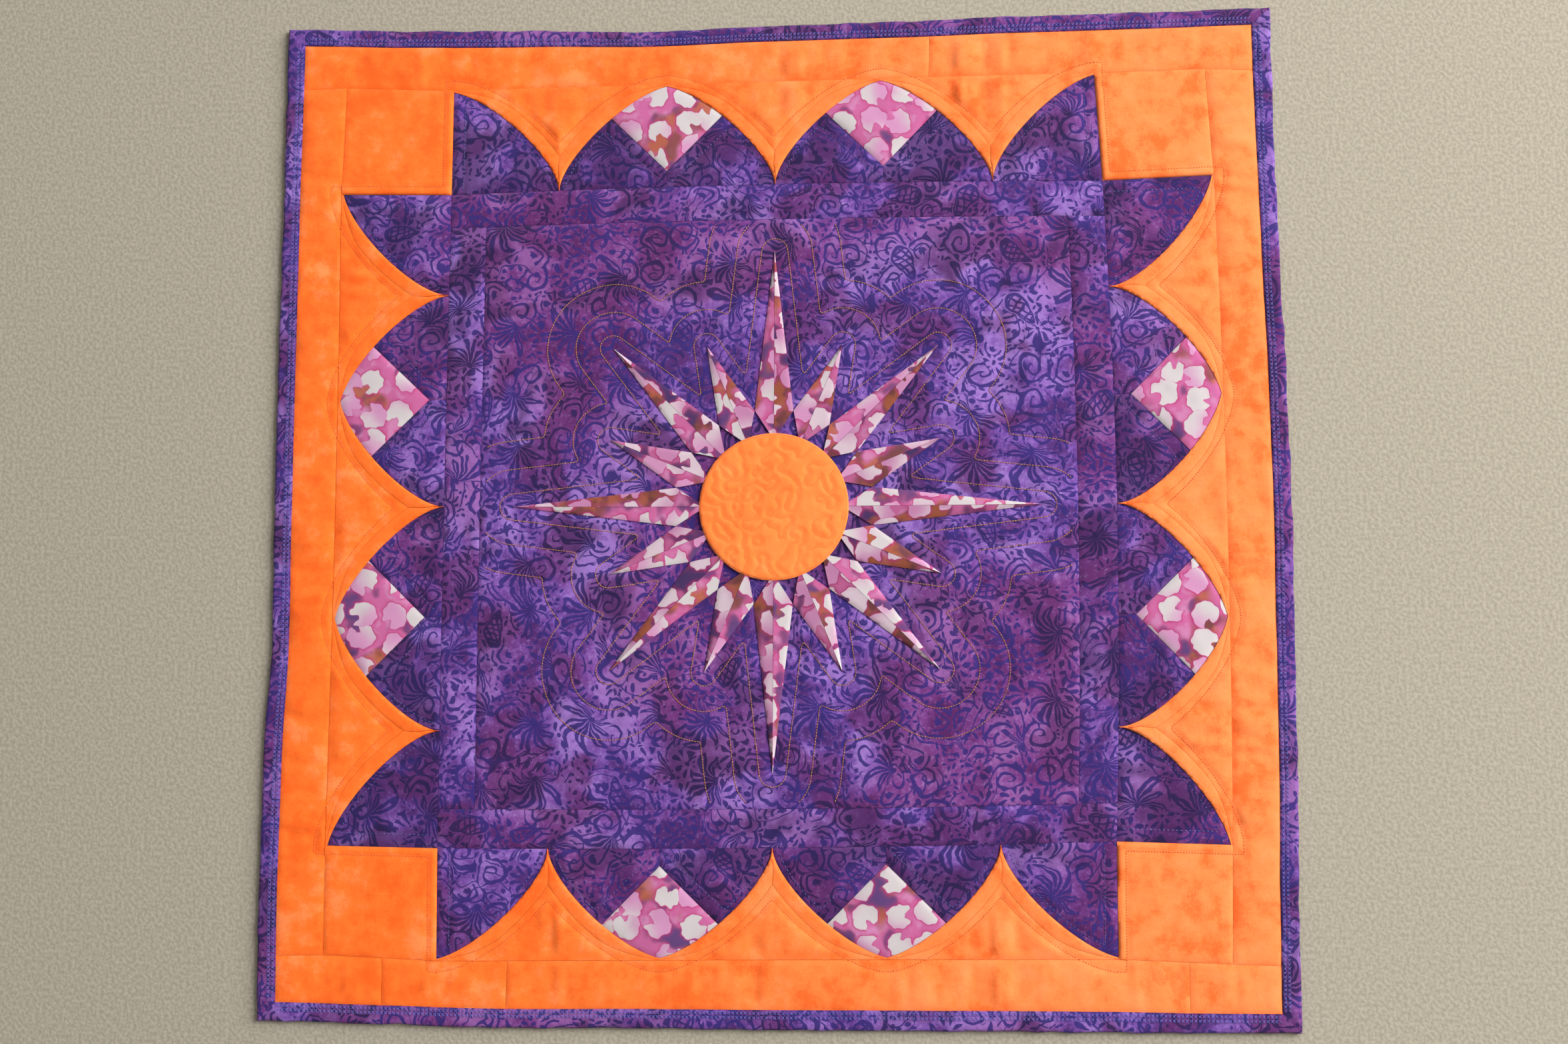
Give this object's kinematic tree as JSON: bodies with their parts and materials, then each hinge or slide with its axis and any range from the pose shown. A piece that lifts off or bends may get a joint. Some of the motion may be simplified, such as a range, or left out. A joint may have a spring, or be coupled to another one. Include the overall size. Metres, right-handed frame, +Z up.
{
  "type": "quilted wall hanging",
  "caption": "Square patchwork wall hanging with a scalloped petal border, a pieced star in the middle and a folded binding, lying flat with its face up.",
  "frame": {"origin": "middle of the back, on the surface the hanging lies on", "axes": "+X across the hanging, +Y towards its top edge, +Z up out of its face"},
  "size_m": [0.705, 0.7014, 0.0077],
  "materials": {
    "orange_cotton": "matte hand-dyed cotton",
    "purple_batik": "matte printed cotton",
    "pink_batik": "matte printed cotton",
    "backing_cotton": "matte plain cotton"
  },
  "bodies": {
    "root": {"binding_bottom": "purple_batik", "binding_left": "purple_batik", "binding_right": "purple_batik", "binding_top": "purple_batik", "border_strip_bottom": "orange_cotton", "border_strip_left": "orange_cotton", "border_strip_right": "orange_cotton", "border_strip_top": "orange_cotton", "compass_star": "pink_batik", "corner_square_bottom": "orange_cotton", "corner_square_left": "orange_cotton", "corner_square_right": "orange_cotton", "corner_square_top": "orange_cotton", "half_petal_bottom_left": "purple_batik", "half_petal_bottom_right": "purple_batik", "half_petal_left_left": "purple_batik", "half_petal_left_right": "purple_batik", "half_petal_right_left": "purple_batik", "half_petal_right_right": "purple_batik", "half_petal_top_left": "purple_batik", "half_petal_top_right": "purple_batik", "inner_strip_bottom": "purple_batik", "inner_strip_left": "purple_batik", "inner_strip_right": "purple_batik", "inner_strip_top": "purple_batik", "middle_panel": "purple_batik", "padded_back": "backing_cotton", "padded_disc": "orange_cotton", "petal_bottom_1": "purple_batik", "petal_bottom_2": "purple_batik", "petal_left_1": "purple_batik", "petal_left_2": "purple_batik", "petal_right_1": "purple_batik", "petal_right_2": "purple_batik", "petal_top_1": "purple_batik", "petal_top_2": "purple_batik", "spandrel_bottom_1": "orange_cotton", "spandrel_bottom_2": "orange_cotton", "spandrel_bottom_3": "orange_cotton", "spandrel_left_1": "orange_cotton", "spandrel_left_2": "orange_cotton", "spandrel_left_3": "orange_cotton", "spandrel_right_1": "orange_cotton", "spandrel_right_2": "orange_cotton", "spandrel_right_3": "orange_cotton", "spandrel_top_1": "orange_cotton", "spandrel_top_2": "orange_cotton", "spandrel_top_3": "orange_cotton", "tip_square_bottom_1": "pink_batik", "tip_square_bottom_2": "pink_batik", "tip_square_left_1": "pink_batik", "tip_square_left_2": "pink_batik", "tip_square_right_1": "pink_batik", "tip_square_right_2": "pink_batik", "tip_square_top_1": "pink_batik", "tip_square_top_2": "pink_batik"}
  },
  "joints": []
}
